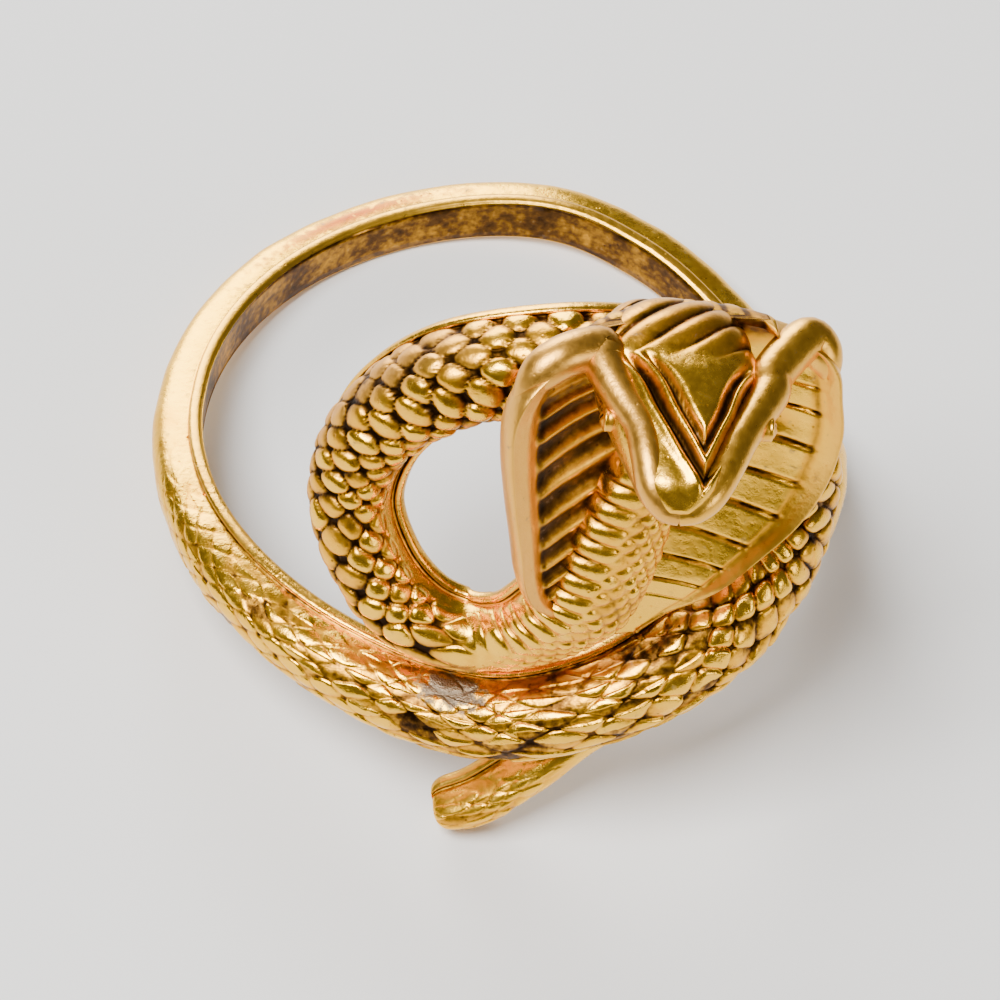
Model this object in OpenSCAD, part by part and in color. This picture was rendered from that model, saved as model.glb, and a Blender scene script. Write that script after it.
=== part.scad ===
// Cobra wrap ring, cast in one piece.
// The snake starts at its tail tip below the front band, runs once round the finger as a
// plain shank, grows into a scaly band, and lies on the finger as one open coil. From the
// coil the neck lifts off and spreads into a dished hood with the head bent forward.
// The part is worked out round the finger axis and then laid on the table as it rests.

/* [Finger] */
// Inner diameter of the loop
finger_d = 17.3; // [15:0.1:21]

/* [Body] */
// Width of the plain shank along the finger
shank_w = 1.6; // [1.3:0.05:2]
// Thickness of the plain shank away from the finger
shank_t = 1.45; // [1.3:0.05:1.8]
// Width of the scaly body at its thickest
body_w = 3.0; // [2.6:0.1:3.3]
// Thickness of the scaly body away from the finger
body_t = 1.9; // [1.7:0.05:2.2]
// Rise along the finger from the front band to the top of the coil
coil_rise = 12.4; // [11.5:0.1:13.5]
// Width of the thin lip along both edges of the body
lip_w = 0.2; // [0.12:0.02:0.26]
// Height of that lip above the finger
lip_t = 0.4; // [0.3:0.05:0.5]

/* [Scales] */
// Length of one scale along the body
scale_pitch = 0.95; // [0.85:0.05:1.3]
// Height that a scale stands proud
scale_h = 0.2; // [0.1:0.02:0.26]
// Height that a belly plate stands proud
plate_h = 0.22; // [0.1:0.02:0.26]

/* [Hood] */
// Width of the hood
hood_w = 9.2; // [8.2:0.1:10]
// Height of the hood along the finger
hood_l = 10.6; // [9.8:0.1:11.4]
// Thickness of the hood
hood_t = 0.7; // [0.6:0.05:0.9]
// Depth of the hood's dish
hood_dish = 1.5; // [1:0.1:1.9]
// Thickness of the rim round the hood
rim_t = 1.0; // [0.95:0.05:1.2]
// Height of the ribs in the dish
rib_h = 0.12; // [0.06:0.02:0.18]

/* [Head] */
// Length of the head from the hood to the snout
head_l = 4.8; // [4.3:0.1:5.4]
// Width of the head at its back
head_w = 4.2; // [3.8:0.1:4.6]
// Height of the head at its back
head_h = 2.2; // [1.9:0.1:2.6]
// Angle by which the head points down from the hood
head_down = 20; // [10:1:30]
// Angle by which the head is turned from the hood to the front
head_turn = 14; // [5:1:20]
// Diameter of an eye
eye_d = 0.65; // [0.5:0.05:0.75]

/* [Hidden] */
gold = "#D9A83C";
finger_r = finger_d / 2;
// Angle between the loop and the straight way round the finger
loop_tilt = 15;
// Distance between the plain sections of the shank
plain_step = 1.6;
// Number of points over the back of the body
dome_n = 13;
// Roundness of the back of the body, where 2 is an ellipse
dome_power = 2.4;

// Route of the body round the finger, one row a section.
// angle: degrees from the front towards +X; rise: share of coil_rise; lift: share of body_t
// off the finger; growth: 0 the shank's size, 1 the thickest body; relief: 1 full scales,
// -1 full belly plates
// [angle, rise, lift, growth, relief]
route = [
    // tail and plain shank
    [-3.5, -0.27, 0, -0.15, 0.3],
    [3, -0.225, 0, -0.05, 0.4],
    [10, -0.14, 0, -0.05, 0.3],
    [19, -0.03, 0, -0.05, 0],
    [32, 0.07, 0, -0.05, 0],
    [50, 0.165, 0, -0.05, 0],
    [68, 0.24, 0, 0, 0],
    [88, 0.26, 0, 0, 0],
    [104, 0.21, 0, 0, 0],
    [118, 0.18, 0, 0, 0],
    [138, 0.265, 0, 0, 0],
    [158, 0.345, 0, 0, 0],
    [180, 0.385, 0, 0, 0],
    [220, 0.318, 0, 0, 0],
    [262, 0.225, 0, 0, 0],
    // scaly front band
    [290, 0.175, 0, 0.1, 0.25],
    [312, 0.12, 0, 0.4, 0.75],
    [337, 0.055, 0, 0.6, 0.9],
    [352, 0.022, 0.06, 0.7, 0.9],
    [366, 0.034, 0.28, 0.78, 0.9],
    [380, 0.11, 0.54, 0.88, 0.9],
    [392, 0.21, 0.66, 1, 1],
    [402, 0.32, 0.64, 1, 1],
    [409, 0.44, 0.54, 1, 1],
    // coil
    [412, 0.58, 0.36, 1, 1],
    [410, 0.72, 0.18, 1, 1],
    [400, 0.845, 0.05, 1, 1],
    [385, 0.93, 0, 1, 1],
    [369, 0.955, 0, 0.98, 1],
    [352, 0.885, 0, 0.9, 1],
    [340, 0.72, 0, 0.75, 1],
    [336.5, 0.53, 0, 0.62, 1],
    [341, 0.37, 0, 0.6, 1],
    [349, 0.265, 0, 0.58, 0.9],
    // neck
    [358, 0.232, 0.02, 0.54, 0.3],
    [365.5, 0.272, 0.25, 0.54, -0.7],
    [370.5, 0.345, 0.54, 0.76, -1],
    [374.3, 0.43, 0.76, 1, -1],
    [376.8, 0.57, 0.84, 1, -1],
    [378.6, 0.72, 0.88, 0.8, -1],
    [380.5, 0.87, 0.97, 0.45, -0.6]
];

// Middle of the hood: its angle round the finger and its rise as a share of coil_rise
hood_angle = 20;
hood_rise = 0.87;
// Outline of the hood from its foot to its top, one row a section.
// along: share of hood_l from the middle; left, right, column: shares of half of hood_w;
// dish: share of hood_dish at the rim
// [along, left, right, column, dish]
hood_rows = [
    [-0.62, -0.12, 0.12, -0.02, 0],
    [-0.56, -0.32, 0.27, -0.08, 0.1],
    [-0.5, -0.52, 0.4, -0.1, 0.33],
    [-0.43, -0.67, 0.52, -0.08, 0.55],
    [-0.34, -0.76, 0.68, -0.03, 0.7],
    [-0.22, -0.83, 0.88, 0, 0.86],
    [-0.09, -0.9, 1.0, 0.02, 0.95],
    [0.05, -0.96, 1.04, 0.04, 1],
    [0.16, -0.97, 1.0, 0.05, 1],
    [0.24, -0.9, 0.96, 0.06, 0.95],
    [0.3, -0.74, 0.84, 0.06, 0.8],
    [0.335, -0.5, 0.6, 0.06, 0.6]
];
// Number of points across the front of the hood and of sections along it
hood_across = 13;
hood_steps = 28;

// Where the head joins the hood: shares of half of hood_w, hood_l and hood_dish
head_seat = [0.02, 0.27, 0.55];
// Plan and side view of the head, one row a section.
// along: share of head_l; half: share of half of head_w; level, up, down: shares of head_h,
// level for the line of the jaws, up and down from that line
// [along, half, level, up, down]
head_rows = [
    [-0.52, 0.5, -0.8, 0.32, 0.3],
    [-0.35, 0.74, -0.29, 0.46, 0.5],
    [-0.15, 0.9, -0.05, 0.5, 0.54],
    [0.06, 1, 0, 0.48, 0.63],
    [0.2, 1, 0, 0.5, 0.58],
    [0.34, 0.94, 0, 0.5, 0.5],
    [0.54, 0.78, 0, 0.46, 0.45],
    [0.74, 0.6, 0, 0.4, 0.4],
    [0.9, 0.46, 0, 0.33, 0.34],
    [1, 0.3, 0, 0.2, 0.22]
];
// Section of the head over the crown, from its left jaw to its right jaw.
// [share of the half width, share of the height up]
crown = [
    [-1, 0], [-0.95, 0.4], [-0.8, 0.7], [-0.6, 0.88], [-0.42, 0.76], [-0.22, 0.9], [0, 0.7], [0.14, 0.86],
    [0.28, 0.95], [0.42, 0.86], [0.52, 0.7], [0.74, 0.88], [0.88, 0.66], [0.97, 0.4], [1, 0]
];
// Brow ridges, from the back of the head to the snout.
// along: share of head_l; left, right: shares of half of head_w; up: share of head_h
// [along, left, right, up]
brow_rows = [
    [0, -0.48, 0.76, 0.3], [0.16, -0.46, 0.8, 0.34], [0.36, -0.38, 0.76, 0.36], [0.56, -0.22, 0.58, 0.35],
    [0.76, -0.08, 0.38, 0.3], [0.92, 0.02, 0.2, 0.2]
];
// Diameter of a brow ridge
brow_d = 0.5;
// Places of the two eyes, as on a brow ridge
// [along, left, right, up]
eye_at = [0.44, -0.62, 0.82, 0.2];
// Number of sides on an eye and a brow ridge
round_n = 12;

// Value on the smooth curve through b and c, with neighbours a and d
function spline(a, b, c, d, t) =
    0.5 * (2 * b + (c - a) * t + (2 * a - 5 * b + 4 * c - d) * t * t
        + (3 * b - a - 3 * c + d) * t * t * t);

// Row of a table at the fractional row number u
function row_at(table, u) =
    let (last = len(table) - 1, i = max(0, min(floor(u), last - 1)))
    spline(table[max(i - 1, 0)], table[i], table[i + 1], table[min(i + 2, last)], u - i);

// Point round the finger from its angle, its place along the finger and its radius
function round_finger(angle, along, r) = [r * sin(angle), -r * cos(angle), along];

// Place of a route row on the unrolled finger surface
function unrolled(row) = [row[0] * PI / 180 * finger_r, row[1] * coil_rise];

// Distance between the sections that follow row i
function step_at(i) = max(abs(route[i][4]), abs(route[i + 1][4])) > 0.2 ? scale_pitch / 2 : plain_step;

// Row numbers of the sections between two rows of the route
function sections(first, last) = [
    for (i = [first:last - 1])
        let (n = max(2, 2 * round(norm(unrolled(route[i + 1]) - unrolled(route[i])) / step_at(i) / 2)))
        for (j = [0:n - 1]) i + j / n,
    last
];

// Height of the relief at section k and point j over the back
function relief(row, k, j) =
    let (fade = sin(180 * j / (dome_n - 1)))
    row[4] > 0
        ? row[4] * scale_h * sqrt(fade) * ((j + k) % 2 == 0 ? 1 : 0)
        : -row[4] * plate_h * fade * (k % 2 == 0 ? 1 : 0);

// Section of the body before it is placed, as [sideways, away from the finger]
function body_section(row, k) =
    let (w = shank_w + (body_w - shank_w) * row[3], t = shank_t + (body_t - shank_t) * row[3])
    [
        [0, 0], [-w / 2, 0], [-w / 2, lip_t],
        for (j = [0:dome_n - 1])
            let (a = 180 - 180 * j / (dome_n - 1), up = relief(row, k, j))
            [(w / 2 - lip_w) * sign(cos(a)) * pow(abs(cos(a)), 2 / dome_power) + up * cos(a),
             lip_t + (t - lip_t) * pow(sin(a), 2 / dome_power) + up * sin(a)],
        [w / 2, lip_t], [w / 2, 0]
    ];

// Share of its size that a section has near the blunt tail tip
function tail_size(u) = u < 0.6 ? 0.55 + 0.45 * sqrt(1 - pow(1 - u / 0.6, 2)) : 1;

// One section of the body, placed round the finger
function body_ring(u, k) =
    let (
        row = row_at(route, u),
        ahead = unrolled(row_at(route, u + 0.02)) - unrolled(row_at(route, u - 0.02)),
        side = [-ahead[1], ahead[0]] / norm(ahead),
        roll = loop_tilt * cos(row[0]) * (1 - max(0, min(1, row[3]))),
        size = tail_size(u),
        half = (shank_w + (body_w - shank_w) * row[3]) / 2,
        base = finger_r + row[2] * body_t + half * abs(sin(roll)) + (1 - size) * shank_t / 2
    )
    [
        for (p = body_section(row, k) * size)
            let (a = p[0] * cos(roll) - p[1] * sin(roll), b = p[0] * sin(roll) + p[1] * cos(roll))
            round_finger(row[0] + a * side[0] / base * 180 / PI, row[1] * coil_rise + a * side[1], base + b)
    ];

// All sections of the body between two rows of the route
function body_rings(first, last) =
    let (us = sections(first, last)) [for (k = [0:len(us) - 1]) body_ring(us[k], k)];

// Point of the hood's own frame, as [sideways, out, up], in the finger's frame
function in_hood(p) =
    let (r = finger_r + body_t + 0.8 * hood_t + p[1], c = cos(hood_angle), s = sin(hood_angle))
    [p[0] * c + r * s, p[0] * s - r * c, hood_rise * coil_rise + p[2]];

// Place across the hood at v, -1 at the left rim and 1 at the right, as [sideways, out]
function across(row, v) = [
    (row[3] + (v < 0 ? row[3] - row[1] : row[2] - row[3]) * v) * hood_w / 2,
    hood_dish * row[4] * v * v
];

// Section of the hood from its right edge over the front to its left edge and along the back
function hood_ring(i) =
    let (
        row = row_at(hood_rows, i * (len(hood_rows) - 1) / hood_steps),
        rib = i % 2 == 0 ? rib_h : 0,
        rim = rim_t - hood_t,
        front = [
            for (j = [hood_across - 1:-1:0])
                let (v = 2 * j / (hood_across - 1) - 1, edge = abs(v) > 0.75)
                across(row, edge ? 0.96 * v : v) + [0, edge ? rim : rib]
        ],
        back = [
            for (j = [0:hood_across - 1])
                let (v = 2 * j / (hood_across - 1) - 1)
                across(row, abs(v) > 0.9 ? 0.93 * v : v) - [0, hood_t]
        ],
        left = across(row, -1) + [0, (rim - hood_t) / 2],
        right = across(row, 1) + [0, (rim - hood_t) / 2]
    )
    [for (p = concat([right], front, [left], back)) in_hood([p[0], p[1], row[0] * hood_l])];

// Point of the head's own frame, as [sideways, forward, up], in the finger's frame
function in_head(p) =
    let (
        forward = p[1] * cos(head_down) + p[2] * sin(head_down),
        up = p[2] * cos(head_down) - p[1] * sin(head_down)
    )
    in_hood([
        head_seat[0] * hood_w / 2 + p[0] * cos(head_turn) - forward * sin(head_turn),
        head_seat[2] * hood_dish + forward * cos(head_turn) + p[0] * sin(head_turn),
        head_seat[1] * hood_l + up
    ]);

// Section of the head: over the crown to the right jaw, then back below to the left jaw
function head_ring(row) =
    let (
        last = len(crown) - 1,
        over = [for (p = crown) [p[0], row[2] + p[1] * row[3]]],
        below = [for (i = [last - 1:-1:1]) [crown[i][0], row[2] - sqrt(1 - pow(abs(crown[i][0]), 3)) * row[4]]]
    )
    [for (p = concat(over, below)) in_head([p[0] * row[1] * head_w / 2, row[0] * head_l, p[1] * head_h])];

// All points of some sections
function points_of(rings) = [for (ring = rings) each ring];

// Lowest point of the loop between two rows of the route, taken in a rough way down
function foot(first, last) =
    let (
        points = points_of(body_rings(first, last)),
        depth = [for (p = points) p * [-0.04, 0.39, -0.92]]
    )
    points[search(max(depth), depth)[0]];

// The ring stands on its tail tip and on the right and the left of the back of the shank
feet = [foot(0, 3), foot(9, 11), foot(12, 14)];
way_down = cross(feet[2] - feet[0], feet[1] - feet[0]);
// Angles by which the finger axis leans back and to the side as the ring lies
rest_back = atan2(way_down[1], -way_down[2]);
rest_side = atan2(way_down[0], norm([way_down[1], way_down[2]]));

// Point of the finger's frame as the ring lies
function laid(p) =
    let (
        back = p[1] * cos(rest_back) + p[2] * sin(rest_back),
        up = p[2] * cos(rest_back) - p[1] * sin(rest_back)
    )
    [p[0] * cos(rest_side) + up * sin(rest_side), back, up * cos(rest_side) - p[0] * sin(rest_side)];

// Box of the ring as it lies, to put its bottom centre on the origin
laid_points = [
    for (rings = [
        body_rings(0, len(route) - 1), [for (i = [0:hood_steps]) hood_ring(i)],
        [for (row = head_rows) head_ring(row)]
    ])
        for (p = points_of(rings)) laid(p)
];
low = [for (axis = [0:2]) min([for (p = laid_points) p[axis]])];
high = [for (axis = [0:2]) max([for (p = laid_points) p[axis]])];

// Number of the point that comes in place i when a closed section of n points is crossed in slices
function slice_point(i, n) = i % 2 == 0 ? (n - i / 2) % n : (i + 1) / 2;

// Triangles over a closed section of n points, in slices from point 0 to the far side
function slices(n) = [
    for (i = [0:n - 3])
        let (a = slice_point(i, n), b = slice_point(i + 1, n), c = slice_point(i + 2, n))
        i % 2 == 0 ? [a, b, c] : [a, c, b]
];

// Solid through sections that all have the same number of points
module skin(rings) {
    n = len(rings[0]);
    m = len(rings);
    polyhedron(
        [for (ring = rings) each ring],
        [
            for (i = [0:m - 2]) for (j = [0:n - 1])
                let (a = i * n + j, b = i * n + (j + 1) % n)
                each (i + j) % 2 == 1
                    ? [[a, b, a + n], [b, b + n, a + n]]
                    : [[a, b, b + n], [a, b + n, a + n]],
            for (t = slices(n)) [t[0], t[2], t[1]],
            for (t = slices(n)) [for (point = t) (m - 1) * n + point]
        ]
    );
}

// Tail, shank, front band, coil and neck in one skin
module body() skin(body_rings(0, len(route) - 1));

module hood() skin([for (i = [0:hood_steps]) hood_ring(i)]);

module head() {
    skin([for (row = head_rows) head_ring(row)]);
    for (side = [1, 2]) {
        for (i = [0:len(brow_rows) - 2]) {
            hull() {
                bead(brow_rows[i], side, brow_d);
                bead(brow_rows[i + 1], side, brow_d);
            }
        }
        bead(eye_at, side, eye_d);
    }
}

// Ball on the head at a row [along, left, right, up], on its left where side is 1 and its right where 2
module bead(row, side, d) {
    translate(in_head([row[side] * head_w / 2, row[0] * head_l, row[3] * head_h]))
        sphere(d = d, $fn = round_n);
}

module snake_ring() {
    color(gold) translate([-(low[0] + high[0]) / 2, -(low[1] + high[1]) / 2, -low[2]])
    rotate([-rest_back, rest_side, 0]) {
        body();
        hood();
        head();
    }
}

snake_ring();
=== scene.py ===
"""Looks of the cobra wrap ring: one worn gold-coloured casting.

The ring is worked out in the finger's frame, in millimetres: X to the right, Y to the back, Z along the
finger. lay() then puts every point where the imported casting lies, in metres.

Through the whole script, u is a place along the body in rows of ROUTE, from the tail to the neck, and j is a
place across its rounded back, from 0 at the right lip to DOME_N - 1 at the left lip, looking to the head. A
mask is a number from 0 to 1 for each point of a surface.
"""

import bpy
import numpy as np
from mathutils import Matrix


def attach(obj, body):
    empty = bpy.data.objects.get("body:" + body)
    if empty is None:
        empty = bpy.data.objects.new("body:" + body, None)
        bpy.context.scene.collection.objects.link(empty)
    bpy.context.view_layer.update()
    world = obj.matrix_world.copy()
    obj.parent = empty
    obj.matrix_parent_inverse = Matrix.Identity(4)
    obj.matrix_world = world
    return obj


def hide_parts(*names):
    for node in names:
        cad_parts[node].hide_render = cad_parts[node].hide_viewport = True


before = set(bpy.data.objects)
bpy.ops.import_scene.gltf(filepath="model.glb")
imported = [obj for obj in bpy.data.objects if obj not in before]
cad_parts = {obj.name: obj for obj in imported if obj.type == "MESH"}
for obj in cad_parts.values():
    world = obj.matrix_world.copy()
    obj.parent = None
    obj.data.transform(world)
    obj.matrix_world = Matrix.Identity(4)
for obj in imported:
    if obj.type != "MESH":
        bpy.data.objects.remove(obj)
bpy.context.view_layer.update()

# ---- Sizes of the casting, in millimetres ----
FINGER_R = 17.3 / 2
SHANK_W, SHANK_T = 1.6, 1.45
BODY_W, BODY_T = 3.0, 1.9
COIL_RISE = 12.4
LIP_W, LIP_T = 0.2, 0.4
SCALE_PITCH, SCALE_H = 0.95, 0.2
PLATE_PITCH, PLATE_H = 0.62, 0.22
HOOD_W, HOOD_L, HOOD_T, HOOD_DISH = 9.2, 10.6, 0.7, 1.5
RIM_T, RIB_H = 1.0, 0.12
HEAD_L, HEAD_W, HEAD_H = 4.8, 4.2, 2.2
ARCH_R = 0.52
EYE_D = 0.65

# Angles in degrees: roll of the plain shank, place of the hood round the finger, nod and turn of the head
LOOP_TILT, HOOD_ANGLE, HEAD_DOWN, HEAD_TURN = 15.0, 20.0, 20.0, 14.0
# Height of the hood's middle, as a share of COIL_RISE
HOOD_RISE = 0.87
# Seat of the head on the hood: shares of half of HOOD_W, of HOOD_L and of HOOD_DISH
HEAD_SEAT = (0.02, 0.27, 0.55)
# Places across the back of the body, and how square its rounded section is
DOME_N, DOME_POWER = 13, 2.4

# How the ring lies: lean of the finger axis in degrees, and where the finger's frame starts
REST_BACK, REST_SIDE = 22.6798, -2.46325
FINGER_ORIGIN = np.array([0.124868, -0.329649, 0.121084])

# Route of the body: angle in degrees, rise (share of COIL_RISE), lift (share of BODY_T), growth, relief
ROUTE = np.array([
    [-3.5, -0.27, 0, -0.15, 0.3], [3, -0.225, 0, -0.05, 0.4], [10, -0.14, 0, -0.05, 0.3],
    [19, -0.03, 0, -0.05, 0], [32, 0.07, 0, -0.05, 0], [50, 0.165, 0, -0.05, 0], [68, 0.24, 0, 0, 0],
    [88, 0.26, 0, 0, 0], [104, 0.21, 0, 0, 0], [118, 0.18, 0, 0, 0], [138, 0.265, 0, 0, 0],
    [158, 0.345, 0, 0, 0], [180, 0.385, 0, 0, 0], [220, 0.318, 0, 0, 0], [262, 0.225, 0, 0, 0],
    [290, 0.175, 0, 0.1, 0.25], [312, 0.12, 0, 0.4, 0.75], [337, 0.055, 0, 0.6, 0.9],
    [352, 0.022, 0.06, 0.7, 0.9], [366, 0.034, 0.28, 0.78, 0.9], [380, 0.11, 0.54, 0.88, 0.9],
    [392, 0.21, 0.66, 1, 1], [402, 0.32, 0.64, 1, 1], [409, 0.44, 0.54, 1, 1], [412, 0.58, 0.36, 1, 1],
    [410, 0.72, 0.18, 1, 1], [400, 0.845, 0.05, 1, 1], [385, 0.93, 0, 1, 1], [369, 0.955, 0, 0.98, 1],
    [352, 0.885, 0, 0.9, 1], [340, 0.72, 0, 0.75, 1], [336.5, 0.53, 0, 0.62, 1], [341, 0.37, 0, 0.6, 1],
    [349, 0.265, 0, 0.58, 0.9], [358, 0.232, 0.02, 0.54, 0.3], [365.5, 0.272, 0.25, 0.54, -0.7],
    [370.5, 0.345, 0.54, 0.76, -1], [374.3, 0.43, 0.76, 1, -1], [376.8, 0.57, 0.84, 1, -1],
    [378.6, 0.72, 0.88, 0.8, -1], [380.5, 0.87, 0.97, 0.45, -0.6],
])
# Rows at which the scaly band and the coil begin
BAND_ROW, COIL_ROW = 15, 24

# Hood: along (share of HOOD_L), left, right, column (shares of half of HOOD_W), dish
HOOD_ROWS = np.array([
    [-0.62, -0.12, 0.12, -0.02, 0], [-0.56, -0.32, 0.27, -0.08, 0.1], [-0.5, -0.52, 0.4, -0.1, 0.33],
    [-0.43, -0.67, 0.52, -0.08, 0.55], [-0.34, -0.76, 0.68, -0.03, 0.7], [-0.22, -0.83, 0.88, 0, 0.86],
    [-0.09, -0.9, 1.0, 0.02, 0.95], [0.05, -0.96, 1.04, 0.04, 1], [0.16, -0.97, 1.0, 0.05, 1],
    [0.24, -0.9, 0.96, 0.06, 0.95], [0.3, -0.74, 0.84, 0.06, 0.8], [0.335, -0.5, 0.6, 0.06, 0.6],
])
# Steps up the hood, by which its ribs and its scales are counted
HOOD_STEPS = 28

# Head: along (share of HEAD_L), half (share of half of HEAD_W), level, up, down (shares of HEAD_H)
HEAD_ROWS = np.array([
    [-0.52, 0.5, -0.8, 0.32, 0.3], [-0.35, 0.74, -0.29, 0.46, 0.5], [-0.15, 0.9, -0.05, 0.5, 0.54],
    [0.06, 1, 0, 0.48, 0.63], [0.2, 1, 0, 0.5, 0.58], [0.34, 0.94, 0, 0.5, 0.5], [0.54, 0.78, 0, 0.46, 0.45],
    [0.74, 0.6, 0, 0.4, 0.4], [0.9, 0.46, 0, 0.33, 0.34], [1, 0.3, 0, 0.2, 0.22],
])

# The V on the crown: its point, as [sideways, forward], and how far its arms spread for each millimetre back
V_POINT, V_LEFT, V_RIGHT = (0.58, 4.1), 0.54, 0.45
# Its folds: middle, counted forward from the V's point, width, and height where they run full
V_GROOVES = ((0, 0.27, -0.26), (-0.95, 0.22, -0.2))
V_RIDGES = ((0.55, 0.3, 0.12), (-0.47, 0.24, 0.12))
# How far the folds wander, and the size of that wander's cells, in millimetres
V_WANDER, V_CELL = 0.16, 0.9

# The arched rims, left then right. On the hood: row, how far out of the rim's middle in millimetres. On the
# head: along, share of the half width, up (share of HEAD_H)
ARCH_ON_HOOD = (
    ((8, 0.05), (9.2, -0.02), (10.2, -0.05)),
    ((8, 0.05), (9.05, -0.05), (10, -0.2)),
)
ARCH_ON_HEAD = (
    ((0.05, -0.96, 0.3), (0.14, -0.92, 0.3), (0.26, -0.82, 0.29), (0.38, -0.72, 0.28), (0.52, -0.6, 0.27),
     (0.7, -0.6, 0.22), (0.85, -0.6, 0.1), (0.93, -0.35, -0.04), (0.95, 0.1, -0.08)),
    ((0.06, 1.2, 0.08), (0.2, 1.14, 0.1), (0.36, 1.04, 0.14), (0.54, 0.96, 0.16), (0.7, 0.92, 0.13),
     (0.85, 0.78, 0.05), (0.93, 0.48, -0.04), (0.95, 0, -0.08)),
)
# How deep the rims are bedded in the head, as a share of HEAD_H
ARCH_BED = 0.04

# Eyes: along (share of HEAD_L), left and right (shares of half of HEAD_W), up (share of HEAD_H)
EYE_AT = (0.44, -0.8, 1.06, 0.06)
# Height of the lid and depth of the slit (shares of the eye's radius), and where its grid ends at the poles
EYE_LID, EYE_SLIT, EYE_POLE = 0.14, 0.16, 0.05

# Wear of the scales along the body: route row, height of the scales, share of scales worn away
WEAR_ROWS = np.array([
    [0, 0.9, 0.1], [3, 0.7, 0.1], [14, 0.2, 0], [16, 0.4, 0.1], [18, 0.55, 0.25], [20, 0.75, 0.35],
    [21.5, 1.15, 0.12], [24, 1.25, 0.05], [25, 1, 0], [34, 1, 0],
])
# Height in that table at which a scale counts as fresh
FRESH_HEIGHT = 1.4
# Middle and width, in u and in j, of the grey patch on the band and of the red-brown streak on the shank
GREY_U, GREY_J = (18.38, 0.42), (10.5, 1.7)
STREAK_U, STREAK_J = (12.85, 0.6), (10.8, 1.5)

# Neighbouring stretches of the body: how far each runs on under the next, in rows and in millimetres down
DIVE_ROWS, DIVE = 0.3, 0.06
# Rings in which an end of the hood or of a stretch is finished, and how far the hood's ends stand out
END_N, END_ROUND = 8, 0.22

# Seeds of the random patterns, one for each use
SEED_LUCK, SEED_TILT, SEED_LEAN, SEED_FLANK, SEED_HALF = 11, 12, 13, 14, 15
SEED_WORN, SEED_CHIPS, SEED_DOTS, SEED_RIBS, SEED_LUMPS, SEED_V = 21, 31, 41, 43, 44, 51
SEED_ALONG, SEED_ACROSS, SEED_PLATES, SEED_DENTS, SEED_FINE_DENTS = 61, 62, 71, 81, 84


# ---- Curves, places and noise ----
def row_at(table, u):
    """Catmull-Rom curve through the rows of a table, at the fractional row numbers u."""
    last = len(table) - 1
    i = np.clip(np.floor(u).astype(int), 0, last - 1)
    t = (u - i)[..., None]
    a, b = table[np.maximum(i - 1, 0)], table[i]
    c, d = table[i + 1], table[np.minimum(i + 2, last)]
    return 0.5 * (2 * b + (c - a) * t + (2 * a - 5 * b + 4 * c - d) * t**2 + (3 * b - a - 3 * c + d) * t**3)


def smooth_step(x, low, high):
    """0 below low, 1 above high, with a soft S between."""
    t = np.clip((x - low) / (high - low), 0, 1)
    return t * t * (3 - 2 * t)


def between(x, rise, fall):
    """1 between two soft edges: up over the range of rise, down over the range of fall."""
    return smooth_step(x, *rise) * (1 - smooth_step(x, *fall))


def bump_at(x, middle, width):
    """Bell of height 1 at the middle: exp of minus the squared distance in widths."""
    return np.exp(-(((x - middle) / width) ** 2))


def lattice_value(ix, iy, iz, seed):
    """Repeatable random number from 0 to 1 for each whole-number cell, by multiplying and folding bits."""
    h = (ix * 374761393 + iy * 668265263 + iz * 1274126177 + seed * 974711) & 0xFFFFFFFF
    h = ((h ^ (h >> 13)) * 1103515245) & 0xFFFFFFFF
    h = ((h ^ (h >> 16)) * 2654435761) & 0xFFFFFFFF
    return ((h ^ (h >> 15)) & 0xFFFFFF) / float(0xFFFFFF)


def grain(points, size, seed):
    """Value noise from -1 to 1: random corner values of cells of the given size, blended with an S curve."""
    p = points / size
    cell = np.floor(p).astype(np.int64)
    f = p - cell
    f = f * f * (3 - 2 * f)
    total = 0
    for corner in np.ndindex(2, 2, 2):
        weight = np.prod(np.abs(1 - np.array(corner) - f), axis=-1)
        x, y, z = np.moveaxis(cell + np.array(corner), -1, 0)
        total = total + weight * lattice_value(x, y, z, seed)
    return 2 * total - 1


def rough_grain(points, size, seed):
    """Three sizes of grain added up, each half as high and half as wide as the one before."""
    return sum(0.5**n * grain(points, size / 2**n, seed + n) for n in range(3))


def crumple(points, size, seed):
    """Sharp little ridges from 0 to 1: one minus 1.6 times the size of the grain, and never below 0."""
    return 1 - np.minimum(1, 1.6 * np.abs(grain(points, size, seed)))


def round_finger(angle, along, r):
    """Point round the finger: angle in degrees from the front towards +X, place along it, radius."""
    a = np.radians(angle)
    return np.stack([r * np.sin(a), -r * np.cos(a), along + 0 * r], -1)


def lay_turn():
    """Turn about X by minus REST_BACK, then about Y by REST_SIDE."""
    b, s = np.radians(REST_BACK), np.radians(REST_SIDE)
    back = np.array([[1, 0, 0], [0, np.cos(b), np.sin(b)], [0, -np.sin(b), np.cos(b)]])
    side = np.array([[np.cos(s), 0, np.sin(s)], [0, 1, 0], [-np.sin(s), 0, np.cos(s)]])
    return side @ back


def lay(points):
    """Finger's frame in millimetres to the part's frame in metres."""
    return (points @ lay_turn().T + FINGER_ORIGIN) / 1000


def masks_of(crevice_and_shade, tan=0.0, grey=0.0, stain_and_shade=0.0):
    """The four masks of a surface: crevices with painted shade, tan, grey, and stains with painted shade. The
    first is a full array; the others may be single numbers.
    """
    blank = 0 * crevice_and_shade
    others = {"tan": tan + blank, "grey": grey + blank, "stain_and_shade": stain_and_shade + blank}
    return {"crevice_and_shade": np.clip(crevice_and_shade, 0, 1), **others}


# ---- Where the body runs ----
# Way between the source's sections where the body is plain, in millimetres
PLAIN_STEP = 1.6


def body_size(row):
    """Width and thickness of the body, between those of the shank and of the full coil, by its growth."""
    growth = row[:, 3][:, None]
    return SHANK_W + (BODY_W - SHANK_W) * growth, SHANK_T + (BODY_T - SHANK_T) * growth


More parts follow.
